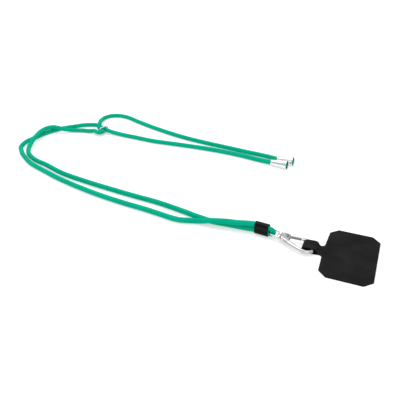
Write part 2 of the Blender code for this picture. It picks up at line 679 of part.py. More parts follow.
def patch_outline():
    """Counter-clockwise outline of the pad and its neck, up to the bend."""
    hx, hy, cut = PATCH_X / 2, PATCH_Y / 2, PATCH_CHAMFER
    right = [(-hx + cut, -hy), (hx - cut, -hy), (hx, -hy + cut)]
    right += [(hx, hy - cut), (hx - cut, hy), (-hx + cut, hy), (-hx, hy - cut)]
    left = [(-hx, -hy + cut)]
    split = NECK_BEND_X + NECK_GAP / 2
    upper, lower = [], []
    steps = 5
    for k in range(steps + 1):
        angle = math.pi / 2 * k / steps
        x = -hx - NECK_FILLET * (1 - math.cos(angle))
        flare = NECK_FILLET * (1 - math.sin(angle))
        upper.append((x, neck_middle(x) + NECK_HALF_WIDTH + flare))
        lower.append((x, neck_middle(x) - NECK_HALF_WIDTH - flare))
    upper.append((split, neck_middle(split) + NECK_HALF_WIDTH))
    lower.append((split, neck_middle(split) - NECK_HALF_WIDTH))
    return right + upper + lower[::-1] + left


def make_patch():
    middle = (FACE_BOTTOM + SHEET_THICK) / 2
    hinge = add_empty("neck_axis", Matrix.Translation((NECK_BEND_X, 0, middle)))
    back_to_world = Matrix.Translation((-NECK_BEND_X, 0, -middle))
    for name, bottom in (("patch_face", FACE_BOTTOM), ("patch_back", 0.0)):
        mesh = prism(patch_outline(), bottom, bottom + SHEET_THICK, name)
        mesh.transform(back_to_world)
        add_object(name, mesh, BLACK_FABRIC, parent=hinge)


def fold_line():
    """Middle of the strap's thickness, (x, z), from the face layer round the fold to the back."""
    top = FOLD_MIDDLE_Z + FOLD_R
    face = FACE_BOTTOM + SHEET_THICK / 2
    split = NECK_BEND_X - NECK_GAP / 2
    line = [(split, face)]
    line += [(x * MM, z * MM) for x, z in STRAP_RISE]
    arc_steps = 8
    for k in range(arc_steps + 1):
        angle = math.pi / 2 + math.pi * k / arc_steps
        line.append((FOLD_X + FOLD_R * math.cos(angle), FOLD_MIDDLE_Z + FOLD_R * math.sin(angle)))
    line += [(-33.0 * MM, SHEET_THICK / 2), (split, SHEET_THICK / 2)]
    return line


def make_strap_loop(frame):
    line = [Vector((x, 0, z)) for x, z in fold_line()]
    bm = bmesh.new()
    rows = []
    for i, spot in enumerate(line):
        before, after = line[max(i - 1, 0)], line[min(i + 1, len(line) - 1)]
        run = (after - before).normalized()
        if i in (0, len(line) - 1):
            run = Vector((-1 if i == 0 else 1, 0, 0))
        normal = Vector((run.z, 0, -run.x)) * SHEET_THICK / 2
        middle = neck_middle(spot.x)
        row = []
        for side, face in ((1, 1), (-1, 1), (-1, -1), (1, -1)):
            place = spot + normal * face
            row.append(bm.verts.new((place.x, middle + side * NECK_HALF_WIDTH, place.z)))
        rows.append(row)
    for row, following in zip(rows, rows[1:]):
        for i in range(4):
            j = (i + 1) % 4
            bm.faces.new((row[i], row[j], following[j], following[i]))
    bm.faces.new(rows[0])
    bm.faces.new(rows[-1])
    mesh = mesh_from(bm, "strap_loop", 50)
    mesh.transform(frame.matrix_local.inverted())
    add_object("strap_loop", mesh, BLACK_FABRIC, parent=frame)


def main():
    clear_scene()
    make_cord()
    make_sleeve()
    make_ferrules()
    make_slide_ring()

    eye_frame = add_empty("eye_axis", hook_matrix() @ Matrix.Rotation(EYE_ROLL, 4, "X"))
    hook_frame = add_empty("hook_axis", hook_matrix())
    eye, bar, hole = make_swivel_eye(eye_frame)
    eye = solid_from_curve(eye)
    add_boolean(eye, bar, "UNION")
    add_boolean(eye, hole, "DIFFERENCE")
    make_swivel_post(hook_frame)
    make_hook_body(hook_frame)
    make_gate(hook_frame)
    make_gate_pin(hook_frame)
    make_gate_spring(hook_frame)
    make_patch()
    strap_frame = add_empty("strap_axis", Matrix.Identity(4))
    make_strap_loop(strap_frame)


main()
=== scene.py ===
import math

import bpy
from bpy.props import FloatProperty, FloatVectorProperty, IntProperty, PointerProperty
from mathutils import Matrix, Vector


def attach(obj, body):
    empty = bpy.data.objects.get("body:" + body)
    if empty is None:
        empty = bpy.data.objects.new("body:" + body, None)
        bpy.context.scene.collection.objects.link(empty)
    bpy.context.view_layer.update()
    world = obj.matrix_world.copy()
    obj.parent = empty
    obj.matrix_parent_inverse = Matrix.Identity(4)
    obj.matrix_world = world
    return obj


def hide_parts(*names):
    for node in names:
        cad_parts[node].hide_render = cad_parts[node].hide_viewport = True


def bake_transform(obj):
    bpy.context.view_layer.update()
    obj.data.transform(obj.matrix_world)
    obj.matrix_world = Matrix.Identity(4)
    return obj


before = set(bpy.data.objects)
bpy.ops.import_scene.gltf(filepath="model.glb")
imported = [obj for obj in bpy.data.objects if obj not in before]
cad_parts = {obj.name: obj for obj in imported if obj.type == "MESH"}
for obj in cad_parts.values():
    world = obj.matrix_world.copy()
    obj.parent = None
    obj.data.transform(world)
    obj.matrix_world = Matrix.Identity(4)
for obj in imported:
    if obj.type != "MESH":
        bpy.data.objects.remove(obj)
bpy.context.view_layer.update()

bl_info = {
    "name": "Phone lanyard",
    "version": (1, 0, 0),
    "blender": (4, 5, 0),
    "location": "View3D > Sidebar > Lanyard",
    "description": (
        "Cord lanyard with a slide ring, a crimp sleeve, a swivel snap hook and a fabric patch"
    ),
    "category": "Object",
}

MM = 0.001
UP = Vector((0, 0, 1))

# Cord
CORD_R = 2.5 * MM
SLEEVE_MIDDLE = Vector((-74.7, 3.58, 5.95)) * MM
SLEEVE_YAW = math.radians(-5.6)
SLEEVE_LENGTH = 12.6 * MM
STRAND_OFFSET = 2.63 * MM
BIGHT_REACH = 4.2 * MM
BIGHT_SPREAD = 3.2 * MM
BIGHT_LIFT = -0.4 * MM
BIGHT_PRESS = 0.72
PRESS_BACK = 2.6 * MM
PRESS_RUN = 2.4 * MM
PRESS_SIDE = 12 * MM
RING_MIDDLE = Vector((-316.2, 140.6, 4.3)) * MM
RING_YAW = math.radians(-25.0)
RING_WIRE_R = 0.7 * MM
RING_INNER = 2.85 * MM
RING_STRAND_OFFSET = 2.7 * MM
FERRULES = {
    "front": (Vector((-84.3, 131.3, 4.92)) * MM, Vector((-102.3, 134.2, 3.5)) * MM),
    "back": (Vector((-80.2, 141.9, 4.92)) * MM, Vector((-98.0, 144.3, 3.5)) * MM),
}
KNOT_DEPTH = 3.2 * MM
KNOT_HALF = 2.6 * MM
BRAID_PITCH = 1.15

ROUTE_FRONT = (
    (-0.1023, 0.1342, 0.0035), (-0.116, 0.1362, 0.0028), (-0.134, 0.1392, 0.0026),
    (-0.159, 0.1414, 0.0026), (-0.188, 0.1414, 0.0026), (-0.218, 0.1396, 0.0026),
    (-0.248, 0.1375, 0.0026), (-0.272, 0.139, 0.0026), (-0.285, 0.1395, 0.0026),
    (-0.294, 0.14, 0.0028), (-0.304, 0.1408, 0.0033),
)
ROUTE_FRONT_LOOP = (
    (-0.3275, 0.1503, 0.0026), (-0.3349, 0.1542, 0.0026), (-0.3436, 0.1516, 0.0026),
    (-0.3511, 0.1472, 0.0026), (-0.3574, 0.141, 0.0026), (-0.3637, 0.135, 0.0026),
    (-0.3695, 0.1284, 0.0026), (-0.3741, 0.1204, 0.0026), (-0.3778, 0.1114, 0.0026),
    (-0.3808, 0.1017, 0.0026), (-0.3825, 0.0907, 0.0026), (-0.3844, 0.0802, 0.0026),
    (-0.3835, 0.073, 0.0026), (-0.38, 0.064, 0.0026), (-0.374, 0.0575, 0.0026),
    (-0.367, 0.051, 0.0026), (-0.3565, 0.0435, 0.0026), (-0.3445, 0.036, 0.0026),
    (-0.334, 0.0315, 0.0026), (-0.324, 0.028, 0.0026), (-0.311, 0.0235, 0.0026),
    (-0.298, 0.019, 0.0026), (-0.272, 0.012, 0.0026), (-0.239, 0.005, 0.0026),
    (-0.211, 0.001, 0.0026), (-0.183, -0.0018, 0.0026), (-0.166, -0.0042, 0.0026),
    (-0.1535, -0.0059, 0.0026), (-0.1468, -0.0055, 0.0026), (-0.1407, -0.0039, 0.0026),
    (-0.1348, -0.002, 0.0026), (-0.1284, -0.0015, 0.0037), (-0.1217, -0.0014, 0.0057),
    (-0.1154, -0.0008, 0.0066), (-0.1093, 0.0004, 0.007), (-0.1032, 0.0014, 0.0073),
    (-0.097, 0.0019, 0.0076), (-0.09, 0.0032, 0.0081),
)
ROUTE_BACK_LOOP = (
    (-0.0912, 0.0041, 0.0029), (-0.0976, 0.004, 0.0027), (-0.104, 0.0039, 0.0026),
    (-0.1103, 0.0034, 0.0026), (-0.1167, 0.0029, 0.0026), (-0.1235, 0.0032, 0.0026),
    (-0.1306, 0.0043, 0.0026), (-0.138, 0.0056, 0.0026), (-0.1456, 0.0074, 0.0026),
    (-0.1533, 0.009, 0.0026), (-0.179, 0.0136, 0.0026), (-0.206, 0.016, 0.0026),
    (-0.234, 0.019, 0.0026), (-0.265, 0.023, 0.0026), (-0.298, 0.029, 0.0026),
    (-0.327, 0.039, 0.0026), (-0.343, 0.0435, 0.0026), (-0.356, 0.0505, 0.0026),
    (-0.3625, 0.0558, 0.0026), (-0.3694, 0.0645, 0.0026), (-0.3733, 0.0731, 0.004),
    (-0.3744, 0.0792, 0.006), (-0.3752, 0.084, 0.0074), (-0.3766, 0.0893, 0.0077),
    (-0.379, 0.098, 0.0078), (-0.3796, 0.1045, 0.0078), (-0.3792, 0.1108, 0.0078),
    (-0.3745, 0.1178, 0.0078), (-0.3672, 0.1205, 0.0066), (-0.3629, 0.1228, 0.005),
    (-0.3559, 0.1268, 0.0034), (-0.3495, 0.1301, 0.0026), (-0.3415, 0.1327, 0.0026),
    (-0.3323, 0.1342, 0.0028),
)
ROUTE_BACK_TAIL = (
    (-0.3245, 0.1435, 0.0074), (-0.326, 0.1475, 0.0082), (-0.3295, 0.154, 0.008),
    (-0.333, 0.1615, 0.0062), (-0.3365, 0.17, 0.0042), (-0.3385, 0.18, 0.0027),
    (-0.3355, 0.1875, 0.0026), (-0.327, 0.1925, 0.0026), (-0.315, 0.193, 0.0026),
    (-0.289, 0.183, 0.0026), (-0.258, 0.172, 0.0026), (-0.22, 0.1616, 0.0026),
    (-0.187, 0.1562, 0.0026), (-0.161, 0.1535, 0.0026), (-0.137, 0.1506, 0.0027),
    (-0.117, 0.1484, 0.003), (-0.107, 0.1466, 0.0032), (-0.098, 0.1443, 0.0035),
)

# Hook frame
HOOK_ORIGIN = Vector((-63.26, 2.46, 5.25)) * MM
HOOK_YAW = math.radians(-11.0)
HOOK_PITCH = math.radians(3.7)
EYE_ROLL = math.radians(12.0)
EYE_R = 3.3
EYE_ARC_X = -0.86
EYE_WIRE_R = 0.74 * MM
ARM_R = 1.45
ARM_ROOT_R = 2.2
ARM_TAPER = 0.75
GATE_R = 1.14
GATE_PIVOT = Vector((11.2, 0.3, 0.0)) * MM
ARM_PATH = (
    (11.0, -4.6), (16.0, -5.9), (21.0, -7.3), (26.0, -8.3), (29.5, -8.4), (32.6, -7.3),
    (34.8, -4.8), (35.4, -1.2), (35.0, 2.2), (33.6, 5.0), (31.0, 6.9), (28.0, 7.4),
    (25.0, 6.9), (22.4, 6.0),
)
SHOULDER_OUTLINE = (
    (6.0, -3.2), (7.4, -4.8), (10.5, -5.9), (14.2, -6.9), (14.2, -2.6), (13.6, -0.9),
    (13.4, 4.2), (10.5, 4.2), (7.6, 3.8), (6.0, 2.5),
)
GATE_PATH = ((11.2, 0.3), (12.0, 1.9), (13.7, 3.0), (17.6, 4.25), (21.98, 5.62))

# Patch
PATCH_X = 42.0 * MM
PATCH_Y = 67.0 * MM
PATCH_CHAMFER = 6.8 * MM
SHEET_THICK = 0.58 * MM
FACE_TOP = 1.25 * MM
NECK_HALF = 5.9 * MM
NECK_FILLET = 3.6 * MM
NECK_Y = -1.0 * MM
NECK_SKEW = 0.13
NECK_BEND_X = -24.0 * MM
FOLD_X = -35.6 * MM
FOLD_R = 2.62 * MM
FOLD_Z = 2.9 * MM
STRAP_RISE = (
    (-24.9, 1.40), (-25.7, 2.40), (-26.6, 3.90), (-27.5, 4.95), (-28.8, 5.42), (-31.5, 5.52),
)

# Looks
YARN_SHINE = 0.04
CLOTH_SHINE = 0.08
SLEEVE_SHINE = 0.1
SLEEVE_TONE = 0.003
# Ferrules: the nickel colour is scaled up, a painted bright reflection.
FERRULE_PAINTED_BRIGHT_REFLECTION = 1.3
# Gate and its rivet: the nickel colour is scaled down, a painted dark reflection.
GATE_PAINTED_DARK_REFLECTION = 0.36
GATE_DULL = 0.06

# Stage
FLOOR_SIZE = 8.0
FLOOR_TONE = 0.62
FLOOR_SHINE = 0.1
FLOOR_GLOW = 0.46
SKY_TENT = (("From Min", 0.25), ("From Max", 0.8), ("To Min", 0.5), ("To Max", 1.0))
LAMPS = (("key", (-0.55, 0.35, 1.1), 0.9, 6.4), ("fill", (0.5, -0.9, 0.8), 0.8, 2.4))
LAMP_AIM = Vector((-0.15, 0.08, 0))
CAMERA_PLACE = (0.0102, -0.3438, 0.2462)
CAMERA_TILT = math.radians(59.1)
CAMERA_YAW = math.radians(22.294)
LENS_LENGTH = 45.0
SENSOR_WIDTH = 36.0


# ---------------------------------------------------------------- settings


class CordSettings(bpy.types.PropertyGroup):
    """Round braided cord"""

    diameter: FloatProperty(
        name="Diameter", description="Thickness of the round cord", default=0.005, unit="LENGTH"
    )
    colour: FloatVectorProperty(
        name="Colour", description="Colour of the yarn", subtype="COLOR",
        default=(0.0004, 0.40, 0.245),
    )
    carriers: IntProperty(
        name="Yarns around", description="Yarns of one direction that go round the cord", default=8
    )


class MetalSettings(bpy.types.PropertyGroup):
    """Polished fittings"""

    # The plate colour is darker than polished nickel's. Part of that is the plate's own grey, and
    # part is painted dark reflection.
    colour: FloatVectorProperty(
        name="Plate colour", description="Colour of the nickel plate", subtype="COLOR",
        default=(0.62, 0.62, 0.61),
    )
    roughness: FloatProperty(
        name="Roughness", description="Roughness of the polished plate", default=0.13, min=0, max=1
    )


class PatchSettings(bpy.types.PropertyGroup):
    """Patch that lies in a phone case"""

    colour: FloatVectorProperty(
        name="Colour", description="Colour of the patch's cloth", subtype="COLOR",
        default=(0.0085, 0.0085, 0.0085),
    )
    thread_pitch: FloatProperty(
        name="Thread pitch", description="Distance between the threads of the weave",
        default=0.0005, unit="LENGTH", precision=5,
    )


# ---------------------------------------------------------------- shader maths


class Value:
    """A socket of a material, with the maths that an expression needs."""

    def __init__(self, shade, socket):
        self.shade = shade
        self.socket = socket

    def maths(self, operation, *others):
        return self.shade.node("ShaderNodeMath", {"operation": operation}, [self, *others])

    def __add__(self, other):
        return self.maths("ADD", other)

    __radd__ = __add__

    def __mul__(self, other):
        return self.maths("MULTIPLY", other)

    __rmul__ = __mul__

    def __sub__(self, other):
        return self.maths("SUBTRACT", other)

    def __rsub__(self, other):
        return self.shade.node("ShaderNodeMath", {"operation": "SUBTRACT"}, [other, self])

    def __truediv__(self, other):
        return self.maths("DIVIDE", other)

    def over(self, level):
        return self.maths("GREATER_THAN", level)

    def fraction(self):
        return self.maths("FRACT")

    def floor(self):
        return self.maths("FLOOR")

    def sine(self):
        return self.maths("SINE")

    def clamp(self):
        return self.shade.node("ShaderNodeClamp", {}, [self, 0.0, 1.0])

    def output(self, index):
        """Another output of the same node."""
        return Value(self.shade, self.socket.node.outputs[index])


class Shade:
    """A new material and the one method that adds its nodes."""

    def __init__(self, name, colour, roughness, metallic=0.0):
        self.material = bpy.data.materials.new(name)
        self.material.use_nodes = True
        self.tree = self.material.node_tree
        self.surface = self.tree.nodes["Principled BSDF"]
        self.set("Base Color", (*colour, 1.0))
        self.set("Roughness", roughness)
        self.set("Metallic", metallic)

    def set(self, name, value):
        self.put(self.surface.inputs[name], value)

    def put(self, socket, value):
        if isinstance(value, Value):
            self.tree.links.new(value.socket, socket)
        elif value is not None:
            socket.default_value = value

    def node(self, kind, settings=None, inputs=(), output=0):
        made = self.tree.nodes.new(kind)
        for key, value in (settings or {}).items():
            setattr(made, key, value)
        pairs = inputs.items() if isinstance(inputs, dict) else enumerate(inputs)
        for key, value in pairs:
            self.put(made.inputs[key], value)
        return Value(self, made.outputs[output])

    def object_place(self):
        return self.node("ShaderNodeTexCoord", output="Object")

    def noise(self, vector, scale, detail=3.0, roughness=0.5):
        links = {"Vector": vector, "Scale": scale, "Detail": detail, "Roughness": roughness}
        return self.node("ShaderNodeTexNoise", {}, links, "Fac")

    def stretch(self, vector, scale):
        return self.node("ShaderNodeMapping", {}, {"Vector": vector, "Scale": scale})

    def mix(self, share, first, second):
        settings = {"data_type": "RGBA", "blend_type": "MIX"}
        return self.node("ShaderNodeMix", settings, {0: share, 6: first, 7: second}, 2)

    def between(self, value, low, high):
        """The value, 0 to 1, as a number from low to high."""
        return value * (high - low) + low

    def bump(self, height, strength, distance):
        links = {"Strength": strength, "Distance": distance, "Height": height}
        self.set("Normal", self.node("ShaderNodeBump", {}, links))


def weave_height(first, second):
    """Height, 0 to 1, of two sets of threads that pass over and under each other."""
    over = ((first.floor() + second.floor()) * 0.5).fraction().over(0.25)
    first_ridge = (first.fraction() * math.pi).sine()
    second_ridge = (second.fraction() * math.pi).sine()
    return first_ridge * over + second_ridge * (1 - over)


def tint(colour, share):
    return (*[min(1.0, c * share) for c in colour], 1.0)


def braid_finish(settings):
    """Round braid: yarns of two directions pass over and under each other."""
    colour = tuple(settings.colour)
    shade = Shade("braided_cord", colour, 0.72)
    place = shade.node("ShaderNodeUVMap", {"uv_map": "UVMap"})
    parts = shade.node("ShaderNodeSeparateXYZ", {}, [place])
    along = parts
    around = parts.output(1)
    pitch = 2 * math.pi * CORD_R / settings.carriers * BRAID_PITCH
    turns = around * settings.carriers
    left = turns + along / pitch
    right = turns - along / pitch
    height = weave_height(left, right)
    fibre_place = shade.node("ShaderNodeCombineXYZ", {}, [left * 9.0, right * 9.0, 0.0])
    fibre = shade.noise(fibre_place, 1.0, 2.0)
    blotch = shade.noise(shade.object_place(), 60.0, 2.0)
    # Painted shade: the weave height makes the base colour darker in the gaps between the yarns
    # and lighter on their crowns. The fibre and blotch noise is random tone.
    light = (height * 0.55 + fibre * 0.25 + blotch * 0.35).clamp()
    shade.set("Base Color", shade.mix(light, tint(colour, 0.55), tint(colour, 1.25)))
    shade.set("Roughness", shade.between(fibre, 0.62, 0.82))
    shade.bump(height + fibre * 0.25, 0.55, 0.00022)
    shade.set("Specular IOR Level", YARN_SHINE)
    return shade.material


def knot_finish(settings):
    """The same yarn, drawn tight in the knot, with its colour lifted as painted light."""
    colour = tuple(settings.colour)
    shade = Shade("knotted_cord", colour, 0.75)
    place = shade.object_place()
    wave = shade.node(
        "ShaderNodeTexWave", {"bands_direction": "DIAGONAL"},
        {"Vector": place, "Scale": 900.0, "Distortion": 2.5, "Detail": 2.0}, "Fac",
    )
    fibre = shade.noise(place, 2500.0, 3.0)
    light = wave * 0.6 + fibre * 0.4
    # Painted light: the knot's colour runs from 0.8 to 1.5 of the yarn's, brighter than the cord.
    # This makes up for the shade the knot sits in, inside the cone's mouth. The wave and fibre
    # noise is the yarn's pattern.
    shade.set("Base Color", shade.mix(light, tint(colour, 0.8), tint(colour, 1.5)))
    shade.set("Roughness", shade.between(fibre, 0.65, 0.85))
    shade.bump(wave + fibre * 0.4, 0.5, 0.0002)
    shade.set("Specular IOR Level", YARN_SHINE)
    return shade.material


def nickel_finish(settings, name, dull=0.0, share=1.0):
    """Bright plate with faint polishing lines and rubbed patches."""
    # share scales the plate colour. The lighter copy on the ferrules is painted bright reflection,
    # and the darker copy on the gate and its rivet is painted dark reflection.
    colour = tint(settings.colour, share)[:3]
    shade = Shade(name, colour, settings.roughness + dull, 1.0)
    place = shade.object_place()
    lines = shade.noise(shade.stretch(place, (400.0, 3000.0, 3000.0)), 1.0, 2.0)
    rubbed = shade.noise(place, 350.0, 4.0)
    shade.set("Base Color", shade.mix(rubbed, tint(colour, 0.93), tint(colour, 1.06)))
    low, high = settings.roughness * 0.6 + dull, settings.roughness * 1.6 + dull
    shade.set("Roughness", shade.between((lines * 0.4 + rubbed * 0.6), low, high))
    shade.bump(lines * 0.3 + rubbed * 0.7, 0.05, 0.00005)
    return shade.material


def sleeve_finish():
    """Glossy black coat, a little uneven."""
    colour = (SLEEVE_TONE, SLEEVE_TONE, SLEEVE_TONE)
    shade = Shade("black_sleeve", colour, 0.26)
    shade.set("Specular IOR Level", SLEEVE_SHINE)
    place = shade.object_place()
    grain = shade.noise(place, 900.0, 3.0)
    scuff = shade.noise(shade.stretch(place, (120.0, 900.0, 900.0)), 1.0, 3.0)
    shade.set("Base Color", shade.mix(scuff, tint(colour, 0.7), tint(colour, 1.9)))
    shade.set("Roughness", shade.between(scuff * 0.6 + grain * 0.4, 0.18, 0.38))
    shade.bump(grain, 0.08, 0.00008)
    return shade.material


def cloth_finish(settings):
    """Fine plain weave in black with a faint shine. Its colour is lighter on the thread crowns, a
    painted highlight.
    """
    colour = tuple(settings.colour)
    shade = Shade("black_cloth", colour, 0.7)
    place = shade.node("ShaderNodeUVMap", {"uv_map": "UVMap"})
    parts = shade.node("ShaderNodeSeparateXYZ", {}, [place])
    warp = parts / settings.thread_pitch
    weft = parts.output(1) / settings.thread_pitch
    height = weave_height(warp, weft)
    fuzz = shade.noise(shade.stretch(place, (4000.0, 4000.0, 1.0)), 1.0, 2.0)
    cloud = shade.noise(shade.stretch(place, (60.0, 60.0, 1.0)), 1.0, 3.0)
    # Painted highlight: the weave height makes the base colour lighter on the thread crowns than
    # in the gaps. The cloud noise gives random lighter patches, which also stand for the cloth's
    # patchy sheen.
    light = ((height * 0.3 + fuzz * 0.3 + cloud * 1.5) - 0.75).clamp()
    shade.set("Base Color", shade.mix(light, tint(colour, 0.45), tint(colour, 2.3)))
    shade.set("Roughness", shade.between(fuzz * 0.5 + cloud * 0.5, 0.55, 0.8))
    shade.bump(height + fuzz * 0.4, 0.35, 0.0001)
    shade.set("Specular IOR Level", CLOTH_SHINE)
    return shade.material


def spring_finish():
    shade = Shade("spring_steel", (0.5, 0.5, 0.5), 0.3, 1.0)
    drawn = shade.noise(shade.object_place(), 3000.0, 3.0)
    shade.set("Base Color", shade.mix(drawn, (0.42, 0.42, 0.42, 1.0), (0.6, 0.6, 0.6, 1.0)))
    shade.set("Roughness", shade.between(drawn, 0.22, 0.4))
    return shade.material


# ---------------------------------------------------------------- modelling helpers


def start_clean():
    if bpy.context.object and bpy.context.object.mode != "OBJECT":
        bpy.ops.object.mode_set(mode="OBJECT")
    bpy.ops.object.select_all(action="DESELECT")


def pick(piece):
    start_clean()
    piece.select_set(True)
    bpy.context.view_layer.objects.active = piece


def apply_modifier(piece, kind, **settings):
    pick(piece)
    modifier = piece.modifiers.new(kind.lower(), kind)
    for key, value in settings.items():
        setattr(modifier, key, value)
    bpy.ops.object.modifier_apply(modifier=modifier.name)


def cut(piece, other, operation="DIFFERENCE"):
    apply_modifier(piece, "BOOLEAN", object=other, operation=operation, solver="EXACT")
    bpy.data.objects.remove(other, do_unlink=True)


def smooth_faces(piece, angle=40):
    pick(piece)
    bpy.ops.object.shade_smooth_by_angle(angle=math.radians(angle))


def smooth_whole(piece):
    pick(piece)
    bpy.ops.object.shade_smooth()


def cast_shape(piece, voxel, rounds):
    """Rounds every edge and corner, as on a cast and tumbled piece."""
    apply_modifier(piece, "REMESH", mode="VOXEL", voxel_size=voxel)
    apply_modifier(piece, "SMOOTH", factor=0.5, iterations=rounds)
    smooth_whole(piece)


def place_mesh(piece, matrix):
    piece.data.transform(matrix)
    piece.data.update()


def finished(piece, name, material, body, nodes):
    piece.name = name
    piece.data.name = name
    piece.data.materials.clear()
    piece.data.materials.append(material)
    if body:
        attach(piece, body)
    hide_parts(*nodes)
    return piece


def turned_piece(profile, segments=64):
    """Rings along Z, extruded one after another. A radius of 0 closes the end."""
    start_clean()
    rings = [p for p in profile if p[1] > 0]
    bpy.ops.mesh.primitive_circle_add(
        vertices=segments, radius=rings[0][1], location=(0, 0, 0), fill_type="NOTHING"
    )
    piece = bpy.context.object
    place_mesh(piece, Matrix.Translation((0, 0, rings[0][0])))
    bpy.ops.object.mode_set(mode="EDIT")
    bpy.ops.mesh.select_all(action="SELECT")
    if profile[0][1] == 0:
        bpy.ops.mesh.edge_face_add()
        bpy.ops.mesh.poke()
        bpy.ops.mesh.select_all(action="DESELECT")
        bpy.ops.mesh.select_non_manifold()
    for (low, wide), (high, next_wide) in zip(rings, rings[1:]):
        bpy.ops.mesh.extrude_region_move(TRANSFORM_OT_translate={"value": (0, 0, high - low)})
        share = next_wide / wide
        bpy.ops.transform.resize(value=(share, share, 1), center_override=(0, 0, high))
    if profile[-1][1] == 0:
        bpy.ops.mesh.edge_face_add()
        bpy.ops.mesh.poke()
    bpy.ops.mesh.select_all(action="SELECT")
    bpy.ops.mesh.remove_doubles(threshold=0.000001)
    bpy.ops.mesh.normals_make_consistent(inside=False)
    bpy.ops.object.mode_set(mode="OBJECT")
    return piece


def rod_piece(low, high, radius, segments):
    """A plain round bar along Z. Its sizes are in millimetres."""
    low, high, radius = low * MM, high * MM, radius * MM
    return turned_piece([(low, 0), (low, radius), (high, radius), (high, 0)], segments)


def box_piece(size, middle):
    """A box with its sides along the axes. Its sizes are in millimetres."""
    start_clean()
    bpy.ops.mesh.primitive_cube_add(size=1.0)
    piece = bpy.context.object
    place_mesh(piece, Matrix.Diagonal((*[side * MM for side in size], 1.0)))
    place_mesh(piece, Matrix.Translation([place * MM for place in middle]))
    return piece


def wire_piece(points, radius, sides, cyclic=False, shares=None):
    """A round wire along the points, as a mesh with its lengthwise and round-about UV."""
    start_clean()
    curve = bpy.data.curves.new("wire", "CURVE")
    curve.dimensions = "3D"
    curve.bevel_depth = radius
    curve.bevel_resolution = sides
    curve.use_fill_caps = not cyclic
    spline = curve.splines.new("POLY")
    spline.points.add(len(points) - 1)
    for index, (spot, place) in enumerate(zip(spline.points, points)):
        spot.co = (*place, 1.0)
        spot.radius = 1.0 if shares is None else shares[index]
    spline.use_cyclic_u = cyclic
    piece = bpy.data.objects.new("wire", curve)
    bpy.context.collection.objects.link(piece)
    pick(piece)
    bpy.ops.object.convert(target="MESH")
    piece = bpy.context.object
    bpy.ops.object.mode_set(mode="EDIT")
    bpy.ops.mesh.select_all(action="SELECT")
    bpy.ops.mesh.remove_doubles(threshold=0.000001)
    bpy.ops.mesh.normals_make_consistent(inside=False)
    bpy.ops.object.mode_set(mode="OBJECT")
    return piece


def smooth_route(points, step):
    """Points a step apart on a centripetal Catmull-Rom curve."""
    points = [Vector(p) for p in points]
    ends = [points[0] * 2 - points[1], *points, points[-1] * 2 - points[-2]]
    fine = []
    for i in range(1, len(ends) - 2):
        p0, p1, p2, p3 = ends[i - 1 : i + 3]
        t1 = (p1 - p0).length ** 0.5
        t2 = t1 + (p2 - p1).length ** 0.5
        t3 = t2 + (p3 - p2).length ** 0.5
        count = max(8, int((p2 - p1).length / step * 3))
        for k in range(count):
            t = t1 + (t2 - t1) * k / count
            a1 = p0.lerp(p1, t / t1)
            a2 = p1.lerp(p2, (t - t1) / (t2 - t1))
            a3 = p2.lerp(p3, (t - t2) / (t3 - t2))
            b1 = a1.lerp(a2, t / t2)
            b2 = a2.lerp(a3, (t - t1) / (t3 - t1))
            fine.append(b1.lerp(b2, (t - t1) / (t2 - t1)))
    fine.append(points[-1])
    return evenly(fine, step)


def evenly(line, step):
    lengths = [0.0]
    for a, b in zip(line, line[1:]):
        lengths.append(lengths[-1] + (b - a).length)
    count = max(2, round(lengths[-1] / step))
    even = []
    index = 0
    for k in range(count + 1):
        target = lengths[-1] * k / count
        while index < len(line) - 2 and lengths[index + 1] < target:
            index += 1
        span = lengths[index + 1] - lengths[index]
        share = (target - lengths[index]) / span if span else 0
        even.append(line[index].lerp(line[index + 1], min(1, share)))
    return even


def route_length(line):
    return sum((b - a).length for a, b in zip(line, line[1:]))


# ---------------------------------------------------------------- cord route


def sleeve_direction():
    return Vector((math.cos(SLEEVE_YAW), math.sin(SLEEVE_YAW), 0))


def sleeve_mouth():
    return SLEEVE_MIDDLE + sleeve_direction() * SLEEVE_LENGTH / 2


def bight_turn():
    return sleeve_mouth() + sleeve_direction() * BIGHT_REACH + UP * BIGHT_LIFT


def bight_route():
    """Along the upper strand, round the eye's wire, and back along the lower strand."""
    x = sleeve_direction()
    mouth = sleeve_mouth()
    arc_middle = BIGHT_REACH - BIGHT_SPREAD
    side = [
        (-SLEEVE_LENGTH, STRAND_OFFSET, 0.0),
        (-PRESS_BACK, STRAND_OFFSET, 0.0),
        (-0.7 * MM, STRAND_OFFSET + 0.2 * MM, 0.4),
    ]
    for angle in (math.radians(90), math.radians(60), math.radians(30)):
        reach = arc_middle + BIGHT_SPREAD * math.cos(angle)
        side.append((reach, BIGHT_SPREAD * math.sin(angle), 1.0))
    upper, lower = [], []
    for reach, offset, share in side:
        out = Matrix.Rotation(EYE_ROLL * share, 3, x) @ UP * offset
        middle = mouth + x * reach + UP * BIGHT_LIFT * share
        upper.append(middle + out)
        lower.append(middle - out)
    return upper + [bight_turn()] + lower[::-1]


def cord_share(spot):
    """Share of its full thickness that the cord has here: it is pressed round the eye."""
    reach = (spot - sleeve_mouth()).dot(sleeve_direction())
    if abs(spot.y) > PRESS_SIDE:
        return 1.0
    pressed = min(1.0, max(0.0, (reach + PRESS_BACK) / PRESS_RUN))
    return 1.0 - (1.0 - BIGHT_PRESS) * pressed


def ring_axes():
    through = Vector((math.cos(RING_YAW), math.sin(RING_YAW), 0))
    return through, Vector((-through.y, through.x, 0))


def ring_front_route():
    through, across = ring_axes()
    strand = RING_MIDDLE + across * RING_STRAND_OFFSET
    route = [strand + through * reach * MM for reach in (5.0, 1.5, -2.0, -5.5)]
    route[-1].z -= 0.8 * MM
    return route


